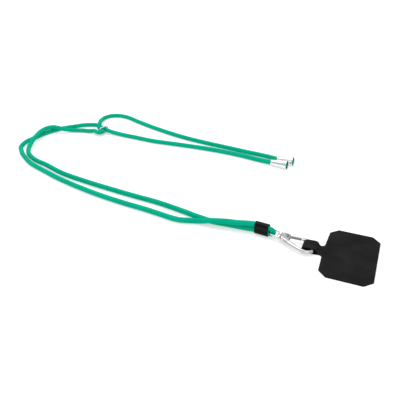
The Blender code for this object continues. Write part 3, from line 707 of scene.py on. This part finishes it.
def ring_back_route():
    through, across = ring_axes()
    half_width = RING_STRAND_OFFSET + RING_INNER + 2 * RING_WIRE_R
    outside = half_width + 0.3 * MM + CORD_R
    turn_r = (outside - RING_STRAND_OFFSET) / 2
    passing = RING_MIDDLE - across * outside
    turn = RING_MIDDLE - across * (outside - turn_r) + through * 0.4 * MM
    inside = RING_MIDDLE - across * RING_STRAND_OFFSET
    return [
        passing - through * 5.5 * MM,
        passing - through * 0.5 * MM,
        turn - across * turn_r * 0.72 + through * turn_r * 0.72,
        turn + through * turn_r,
        turn + across * turn_r * 0.72 + through * turn_r * 0.72,
        inside + through * 0.4 * MM,
        inside - through * 2.5 * MM + UP * 0.2 * MM,
        inside - through * 5.5 * MM + UP * 1.5 * MM,
    ]


def cord_route():
    starts = []
    for mouth, small in FERRULES.values():
        starts.append(mouth + (small - mouth).normalized() * (KNOT_DEPTH + KNOT_HALF + 0.3 * MM))
    return [
        starts[0], *ROUTE_FRONT, *ring_front_route(), *ROUTE_FRONT_LOOP,
        *bight_route(), *ROUTE_BACK_LOOP, *ring_back_route(), *ROUTE_BACK_TAIL, starts[1],
    ]


def hook_matrix():
    turn = Matrix.Rotation(HOOK_YAW, 4, "Z") @ Matrix.Rotation(HOOK_PITCH, 4, "Y")
    return Matrix.Translation(HOOK_ORIGIN) @ turn


def along_matrix(start, end):
    """Turns +Z along the line from start to end, with its origin at the start."""
    direction = (end - start).normalized()
    return Matrix.Translation(start) @ direction.to_track_quat("Z", "Y").to_matrix().to_4x4()


# ---------------------------------------------------------------- pieces


class LANYARD_OT_cord(bpy.types.Operator):
    """Lay the braided cord along its route"""

    bl_idname = "lanyard.cord"
    bl_label = "Cord"

    def execute(self, context):
        settings = context.scene.lanyard_cord
        radius = settings.diameter / 2
        line = smooth_route(cord_route(), 1.1 * MM)
        shares = [cord_share(spot) for spot in line]
        for spot, share in zip(line, shares):
            spot.z = max(spot.z, radius * share + 0.02 * MM)
        piece = wire_piece(line, radius, 10, shares=shares)
        length = route_length(line)
        uv = piece.data.uv_layers[0]
        uv.name = "UVMap"
        for corner in uv.data:
            corner.uv = (corner.uv.x * length, corner.uv.y)
        smooth_whole(piece)
        finished(piece, "braided_cord", braid_finish(settings), "cord_set", ["cord"])
        on_it = ["end_ferrule_turned_front", "end_ferrule_turned_back", "cord_knot_front"]
        on_it += ["cord_knot_back", "slide_ring_wire", "sleeve_shell"]
        return {"FINISHED"}


class LANYARD_OT_ferrules(bpy.types.Operator):
    """Turn the two conical cord ends and tie the knots inside them"""

    bl_idname = "lanyard.ferrules"
    bl_label = "Cord ends"

    def execute(self, context):
        # Painted bright reflection: the cones' nickel is made lighter than the other fittings'.
        metal = nickel_finish(context.scene.lanyard_metal, "ferrule_nickel", share=FERRULE_PAINTED_BRIGHT_REFLECTION)
        yarn = knot_finish(context.scene.lanyard_cord)
        for label, (mouth, small) in FERRULES.items():
            self.turn_ferrule(label, mouth, small, metal)
            self.tie_knot(label, mouth, small, yarn)
        return {"FINISHED"}

    def turn_ferrule(self, label, mouth, small, metal):
        long = (mouth - small).length / MM
        profile = [
            (0.0, 2.9), (0.0, 3.12), (0.08, 3.28), (0.25, 3.42), (0.5, 3.47), (0.75, 3.42),
            (0.95, 3.30), (1.1, 3.28), (1.3, 3.33), (long * 0.3, 3.72), (long * 0.5, 4.12),
            (long * 0.7, 4.47), (long * 0.88, 4.78), (long - 0.6, 4.87), (long - 0.3, 4.89),
            (long - 0.1, 4.83), (long, 4.68), (long - 0.02, 4.50), (long - 0.15, 4.38),
            (long - 0.5, 4.30), (long * 0.75, 4.22), (long * 0.5, 3.98), (long * 0.42, 3.3),
            (long * 0.4, 2.85), (0.4, 2.8), (0.1, 2.84), (0.0, 2.9),
        ]
        piece = turned_piece([(z * MM, r * MM) for z, r in profile], 72)
        place_mesh(piece, along_matrix(small, mouth))
        smooth_faces(piece, 50)
        node = "end_ferrule_" + label
        finished(piece, "end_ferrule_turned_" + label, metal, "cord_set", [node])

    def tie_knot(self, label, mouth, small, yarn):
        start_clean()
        bpy.ops.mesh.primitive_uv_sphere_add(segments=48, ring_count=28, radius=1.0)
        piece = bpy.context.object
        for vertex in piece.data.vertices:
            x, y, z = vertex.co
            turn = math.atan2(y, x)
            fold = 0.10 * math.sin(2 * turn + 2.4 * z) * (1 - z * z)
            dimple = 0.22 * math.exp(-((x * x + y * y) / 0.09)) * (1 if z > 0 else 0)
            crease = 0.16 * math.exp(-((x - 0.35 * y) ** 2) / 0.012) * max(0.0, z)
            side = 3.45 * (1 - 0.05 * abs(math.sin(turn))) * (0.9 + fold)
            vertex.co = (x * side * MM, y * side * MM, (z - dimple - crease) * KNOT_HALF)
        middle = mouth + (small - mouth).normalized() * KNOT_DEPTH
        place_mesh(piece, along_matrix(small, mouth))
        place_mesh(piece, Matrix.Translation(middle - small))
        smooth_whole(piece)
        finished(piece, "cord_knot_" + label, yarn, "cord_set", ["end_knot_" + label])


class LANYARD_OT_slide_ring(bpy.types.Operator):
    """Bend the oval ring that both strands pass through"""

    bl_idname = "lanyard.slide_ring"
    bl_label = "Slide ring"

    def execute(self, context):
        radius = RING_INNER + RING_WIRE_R
        path = []
        steps = 28
        for side in (1, -1):
            for k in range(steps + 1):
                angle = math.pi * (k / steps - 0.5)
                across = side * (RING_STRAND_OFFSET + radius * math.cos(angle))
                path.append((0, across, side * radius * math.sin(angle)))
        piece = wire_piece(path, RING_WIRE_R, 8, cyclic=True)
        place_mesh(piece, Matrix.Translation(RING_MIDDLE) @ Matrix.Rotation(RING_YAW, 4, "Z"))
        smooth_whole(piece)
        metal = nickel_finish(context.scene.lanyard_metal, "ring_nickel")
        finished(piece, "slide_ring_wire", metal, "ring", ["slide_ring"])
        return {"FINISHED"}


class LANYARD_OT_sleeve(bpy.types.Operator):
    """Press the two-lobed sleeve round both strands"""

    bl_idname = "lanyard.sleeve"
    bl_label = "Crimp sleeve"

    def execute(self, context):
        start_clean()
        count = 96
        bpy.ops.mesh.primitive_circle_add(vertices=count, radius=1.0, fill_type="NOTHING")
        piece = bpy.context.object
        for index, vertex in enumerate(piece.data.vertices):
            across, up = self.outline(index / count)
            vertex.co = (-SLEEVE_LENGTH / 2, across, up)
        bpy.ops.object.mode_set(mode="EDIT")
        bpy.ops.mesh.select_all(action="SELECT")
        steps = (0.3, 0.5, 1.2, 2.6, 1.5, 1.5, 2.6, 1.2, 0.5, 0.3)
        for step in steps:
            bpy.ops.mesh.extrude_region_move(TRANSFORM_OT_translate={"value": (step * MM, 0, 0)})
        bpy.ops.mesh.select_all(action="SELECT")
        bpy.ops.mesh.normals_make_consistent(inside=False)
        bpy.ops.object.mode_set(mode="OBJECT")
        for vertex in piece.data.vertices:
            reach = vertex.co.x / (SLEEVE_LENGTH / 2)
            waist = math.exp(-((vertex.co.z / (1.6 * MM)) ** 2)) * math.cos(reach * math.pi / 2)
            vertex.co.y *= 1 - 0.07 * waist
        apply_modifier(piece, "SOLIDIFY", thickness=0.55 * MM, offset=-1.0)
        apply_modifier(
            piece, "BEVEL", width=0.2 * MM, segments=3, limit_method="ANGLE",
            angle_limit=math.radians(60),
        )
        place = Matrix.Translation(SLEEVE_MIDDLE) @ Matrix.Rotation(SLEEVE_YAW, 4, "Z")
        place_mesh(piece, place)
        smooth_faces(piece, 60)
        finished(piece, "sleeve_shell", sleeve_finish(), "cord_set", ["crimp_sleeve"])
        return {"FINISHED"}

    def outline(self, share):
        """Outside of the two lobes, (across, up), once round for a share of 0 to 1."""
        radius = 3.24 * MM
        arc = math.pi * radius
        side = 2 * STRAND_OFFSET
        total = 2 * (arc + side)
        gone = share * total
        for lobe in (1, -1):
            if gone < arc:
                angle = gone / radius
                return (lobe * radius * math.cos(angle),
                        lobe * (STRAND_OFFSET + radius * math.sin(angle)))
            gone -= arc
            if gone < side:
                dip = 0.42 * MM * math.sin(math.pi * gone / side) ** 1.5
                return -lobe * (radius - dip), lobe * (STRAND_OFFSET - gone)
            gone -= side
        return radius, STRAND_OFFSET


class LANYARD_OT_swivel(bpy.types.Operator):
    """Form the swivel eye and head its post"""

    bl_idname = "lanyard.swivel"
    bl_label = "Swivel eye and post"

    def execute(self, context):
        metal = nickel_finish(context.scene.lanyard_metal, "swivel_nickel")
        self.form_eye(metal)
        profile = (
            (2.85, 0), (2.86, 0.5), (2.92, 1.0), (3.05, 1.4), (3.2, 1.62), (3.35, 1.68),
            (3.48, 1.62), (3.5, 1.4), (3.5, 0.95), (3.6, 0.9), (8.1, 0.9), (8.2, 0.8), (8.2, 0),
        )
        piece = turned_piece([(z * MM, r * MM) for z, r in profile], 40)
        place_mesh(piece, hook_matrix() @ Matrix.Rotation(math.pi / 2, 4, "Y"))
        smooth_faces(piece, 40)
        finished(piece, "swivel_post_turned", metal, "hook", ["swivel_post"])
        return {"FINISHED"}

    def form_eye(self, metal):
        steps = 40
        path = [(4.4, EYE_R), (2.55, EYE_R)]
        for k in range(steps + 1):
            angle = math.pi * (0.5 + k / steps)
            path.append((EYE_ARC_X + EYE_R * math.cos(angle), EYE_R * math.sin(angle)))
        path += [(2.55, -EYE_R), (4.4, -EYE_R)]
        eye = wire_piece([(x * MM, y * MM, 0) for x, y in path], EYE_WIRE_R, 6)
        bar = box_piece((1.9, 8.5, 2.3), (4.7, 0, 0))
        apply_modifier(bar, "BEVEL", width=0.6 * MM, segments=4)
        cut(eye, bar, "UNION")
        hole = rod_piece(2.5, 7, 1.2, 32)
        place_mesh(hole, Matrix.Rotation(math.pi / 2, 4, "Y"))
        cut(eye, hole)
        cast_shape(eye, 0.13 * MM, 5)
        place_mesh(eye, hook_matrix() @ Matrix.Rotation(EYE_ROLL, 4, "X"))
        finished(eye, "swivel_eye_forged", metal, "eye", ["swivel_eye"])


class LANYARD_OT_hook(bpy.types.Operator):
    """Cast the hook's shoulder and arm"""

    bl_idname = "lanyard.hook"
    bl_label = "Snap hook body"

    def execute(self, context):
        line = smooth_route([(x * MM, y * MM, 0) for x, y in ARM_PATH], 0.5 * MM)
        shares = []
        for spot in line:
            near_arm = spot.y < 0 and spot.x < 29 * MM
            share = min(1, max(0, (spot.x - 11 * MM) / (18 * MM))) if near_arm else 1.0
            shares.append((ARM_ROOT_R - ARM_TAPER * share) / ARM_R)
        arm = wire_piece(line, ARM_R * MM, 10, shares=shares)
        cut(arm, self.shoulder(), "UNION")
        cut(arm, box_piece((7.1, 11.05, 2.9), (12.45, 3.475, 0)))
        pin = rod_piece(-6, 6, 0.8, 32)
        place_mesh(pin, Matrix.Translation(GATE_PIVOT))
        cut(arm, pin)
        bore = rod_piece(4, 8.45, 1.1, 32)
        place_mesh(bore, Matrix.Rotation(math.pi / 2, 4, "Y"))
        cut(arm, bore)
        cast_shape(arm, 0.17 * MM, 6)
        place_mesh(arm, hook_matrix())
        metal = nickel_finish(context.scene.lanyard_metal, "hook_nickel")
        finished(arm, "hook_casting", metal, "hook", ["hook_body"])
        return {"FINISHED"}

    def shoulder(self):
        start_clean()
        count = len(SHOULDER_OUTLINE)
        bpy.ops.mesh.primitive_circle_add(vertices=count, radius=1.0, fill_type="NGON")
        block = bpy.context.object
        for vertex, (x, y) in zip(block.data.vertices, SHOULDER_OUTLINE):
            vertex.co = (x * MM, y * MM, -2.3 * MM)
        bpy.ops.object.mode_set(mode="EDIT")
        bpy.ops.mesh.select_all(action="SELECT")
        bpy.ops.mesh.extrude_region_move(TRANSFORM_OT_translate={"value": (0, 0, 4.6 * MM)})
        bpy.ops.mesh.select_all(action="SELECT")
        bpy.ops.mesh.normals_make_consistent(inside=False)
        bpy.ops.object.mode_set(mode="OBJECT")
        apply_modifier(
            block, "BEVEL", width=1.0 * MM, segments=4, limit_method="ANGLE",
            angle_limit=math.radians(30),
        )
        return block


class LANYARD_OT_gate(bpy.types.Operator):
    """Make the sprung gate, its rivet and its spring"""

    bl_idname = "lanyard.gate"
    bl_label = "Gate"

    def execute(self, context):
        settings = context.scene.lanyard_metal
        # Painted dark reflection: the gate's and rivet's nickel is made darker than the other
        # fittings'.
        metal = nickel_finish(settings, "gate_nickel", dull=GATE_DULL, share=GATE_PAINTED_DARK_REFLECTION)
        self.form_gate(metal)
        self.set_rivet(metal)
        self.wind_spring()
        return {"FINISHED"}

    def form_gate(self, metal):
        line = smooth_route([(x * MM, y * MM, 0) for x, y in GATE_PATH], 0.4 * MM)
        gate = wire_piece(line, GATE_R * MM, 8)
        hub = rod_piece(-GATE_R, GATE_R, 1.95, 48)
        place_mesh(hub, Matrix.Translation(GATE_PIVOT))
        cut(gate, hub, "UNION")
        pocket = rod_piece(-0.65, 0.65, 2.15, 48)
        place_mesh(pocket, Matrix.Translation(GATE_PIVOT))
        cut(gate, pocket)
        hole = rod_piece(-3, 3, 0.92, 32)
        place_mesh(hole, Matrix.Translation(GATE_PIVOT))
        cut(gate, hole)
        cast_shape(gate, 0.11 * MM, 4)
        place_mesh(gate, hook_matrix())
        finished(gate, "gate_formed", metal, "gate", ["gate"])

    def set_rivet(self, metal):
        half = [(0.0, 0.7), (2.42, 0.7), (2.5, 0.75), (2.5, 1.45), (2.56, 1.53), (2.66, 1.5)]
        half += [(2.78, 1.3), (2.86, 0.95), (2.9, 0.5), (2.9, 0.0)]
        profile = [(-z, r) for z, r in reversed(half[1:])] + half[1:]
        piece = turned_piece([(z * MM, r * MM) for z, r in profile], 48)
        place_mesh(piece, hook_matrix() @ Matrix.Translation(GATE_PIVOT))
        smooth_faces(piece, 40)
        finished(piece, "gate_rivet", metal, "hook", ["gate_pin"])

    def wind_spring(self):
        count = 70
        path = []
        for k in range(count + 1):
            angle = 5 * math.pi * k / count + math.pi * 0.75
            height = 0.74 * MM * (k / count - 0.5)
            path.append((1.35 * MM * math.cos(angle), 1.35 * MM * math.sin(angle), height))
        piece = wire_piece(path, 0.16 * MM, 4)
        place_mesh(piece, hook_matrix() @ Matrix.Translation(GATE_PIVOT))
        smooth_whole(piece)
        steel = spring_finish()
        finished(piece, "gate_spring_coil", steel, "hook", ["gate_spring"])


class LANYARD_OT_patch(bpy.types.Operator):
    """Fold the patch's sheet round the hook's nose"""

    bl_idname = "lanyard.patch"
    bl_label = "Patch and strap"

    def execute(self, context):
        line = evenly([Vector((x, 0, z)) for x, z in self.fold_line()], 0.8 * MM)
        columns = 48
        start_clean()
        bpy.ops.mesh.primitive_grid_add(
            x_subdivisions=columns, y_subdivisions=len(line) - 1, size=1.0
        )
        piece = bpy.context.object
        uv = piece.data.uv_layers[0]
        uv.name = "UVMap"
        spots = {}
        for vertex in piece.data.vertices:
            across = vertex.co.x + 0.5
            row = min(len(line) - 1, round((vertex.co.y + 0.5) * (len(line) - 1)))
            spot = line[row]
            low, high = self.edges(spot.x)
            wide = low + (high - low) * across
            vertex.co = (spot.x, wide, spot.z)
            spots[vertex.index] = (row * 0.8 * MM, wide)
        for corner in piece.data.loops:
            uv.data[corner.index].uv = spots[corner.vertex_index]
        apply_modifier(piece, "SOLIDIFY", thickness=SHEET_THICK, offset=0.0)
        apply_modifier(
            piece, "BEVEL", width=0.12 * MM, segments=2, limit_method="ANGLE",
            angle_limit=math.radians(60),
        )
        smooth_faces(piece, 50)
        settings = context.scene.lanyard_patch
        nodes = ["strap_loop", "patch_face", "patch_back"]
        finished(piece, "folded_patch", cloth_finish(settings), None, nodes)
        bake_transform(piece)
        return {"FINISHED"}

    def fold_line(self):
        """Middle of the sheet, (x, z), from the far edge of its face round to its back."""
        half = SHEET_THICK / 2
        face = FACE_TOP - half
        end = PATCH_X / 2
        line = [(end, face), (NECK_BEND_X + 0.6 * MM, face)]
        line += [(x * MM, z * MM) for x, z in STRAP_RISE]
        steps = 14
        for k in range(steps + 1):
            angle = math.pi / 2 + math.pi * k / steps
            line.append((FOLD_X + FOLD_R * math.cos(angle), FOLD_Z + FOLD_R * math.sin(angle)))
        line += [(-33.0 * MM, half), (end, half)]
        return line

    def edges(self, x):
        """The sheet's two edges at x, (low y, high y)."""
        reach = PATCH_X / 2
        wide = PATCH_Y / 2
        if x >= -reach:
            inset = max(0.0, PATCH_CHAMFER - (reach - abs(x)))
            return -wide + inset, wide - inset
        middle = NECK_Y + NECK_SKEW * (x + reach)
        gone = min(1.0, (-reach - x) / NECK_FILLET)
        flare = NECK_FILLET * (1 - math.sqrt(max(0.0, 1 - (1 - gone) ** 2)))
        return middle - NECK_HALF - flare, middle + NECK_HALF + flare


class LANYARD_OT_stage(bpy.types.Operator):
    """Set the pale floor, the soft lights and the camera"""

    bl_idname = "lanyard.stage"
    bl_label = "Stage"

    def execute(self, context):
        start_clean()
        bpy.ops.mesh.primitive_plane_add(size=FLOOR_SIZE, location=(0, 0, 0))
        floor = bpy.context.object
        floor.name = "floor"
        pale = Shade("pale_floor", (FLOOR_TONE, FLOOR_TONE, FLOOR_TONE), 0.9)
        pale.set("Specular IOR Level", FLOOR_SHINE)
        pale.set("Emission Color", (1.0, 1.0, 1.0, 1.0))
        pale.set("Emission Strength", FLOOR_GLOW)
        floor.data.materials.append(pale.material)
        context.scene.view_settings.view_transform = "Standard"
        world = bpy.data.worlds.new("studio")
        context.scene.world = world
        world.use_nodes = True
        tree = world.node_tree
        sky = tree.nodes["Background"]
        sky.inputs["Color"].default_value = (1.0, 1.0, 1.0, 1.0)
        height = tree.nodes.new("ShaderNodeSeparateXYZ")
        tent = tree.nodes.new("ShaderNodeMapRange")
        for name, value in SKY_TENT:
            tent.inputs[name].default_value = value
        place = tree.nodes.new("ShaderNodeTexCoord")
        tree.links.new(place.outputs["Generated"], height.inputs["Vector"])
        tree.links.new(height.outputs["Z"], tent.inputs["Value"])
        tree.links.new(tent.outputs["Result"], sky.inputs["Strength"])
        for lamp in LAMPS:
            self.lamp(*lamp)
        lens = bpy.data.cameras.new("camera")
        lens.lens = LENS_LENGTH
        lens.sensor_width = SENSOR_WIDTH
        lens.clip_start = 0.01
        camera = bpy.data.objects.new("camera", lens)
        context.collection.objects.link(camera)
        camera.location = CAMERA_PLACE
        camera.rotation_euler = (CAMERA_TILT, 0.0, CAMERA_YAW)
        context.scene.camera = camera
        return {"FINISHED"}

    def lamp(self, name, place, size, power):
        light = bpy.data.lights.new(name, "AREA")
        light.size = size
        light.energy = power
        lamp = bpy.data.objects.new(name, light)
        bpy.context.collection.objects.link(lamp)
        lamp.location = place
        aim = LAMP_AIM - Vector(place)
        lamp.rotation_euler = aim.to_track_quat("-Z", "Y").to_euler()


class LANYARD_PT_parts(bpy.types.Panel):
    """Pieces of the lanyard"""

    bl_idname = "LANYARD_PT_parts"
    bl_label = "Lanyard"
    bl_space_type = "VIEW_3D"
    bl_region_type = "UI"
    bl_category = "Lanyard"

    def draw(self, context):
        for settings in (
            context.scene.lanyard_cord, context.scene.lanyard_metal, context.scene.lanyard_patch
        ):
            for name in settings.__annotations__:
                self.layout.prop(settings, name)
        for operator in OPERATORS:
            self.layout.operator(operator.bl_idname)


SETTINGS = (CordSettings, MetalSettings, PatchSettings)
OPERATORS = (
    LANYARD_OT_ferrules, LANYARD_OT_slide_ring, LANYARD_OT_sleeve, LANYARD_OT_swivel,
    LANYARD_OT_hook, LANYARD_OT_gate, LANYARD_OT_patch, LANYARD_OT_cord, LANYARD_OT_stage,
)


def register():
    for made in (*SETTINGS, *OPERATORS, LANYARD_PT_parts):
        bpy.utils.register_class(made)
    bpy.types.Scene.lanyard_cord = PointerProperty(type=CordSettings)
    bpy.types.Scene.lanyard_metal = PointerProperty(type=MetalSettings)
    bpy.types.Scene.lanyard_patch = PointerProperty(type=PatchSettings)


def unregister():
    del bpy.types.Scene.lanyard_patch
    del bpy.types.Scene.lanyard_metal
    del bpy.types.Scene.lanyard_cord
    for made in reversed((*SETTINGS, *OPERATORS, LANYARD_PT_parts)):
        bpy.utils.unregister_class(made)


def main():
    register()
    bpy.ops.lanyard.stage()
    bpy.ops.lanyard.ferrules()
    bpy.ops.lanyard.slide_ring()
    bpy.ops.lanyard.sleeve()
    bpy.ops.lanyard.swivel()
    bpy.ops.lanyard.hook()
    bpy.ops.lanyard.gate()
    bpy.ops.lanyard.patch()
    bpy.ops.lanyard.cord()


if __name__ == "__main__":
    main()
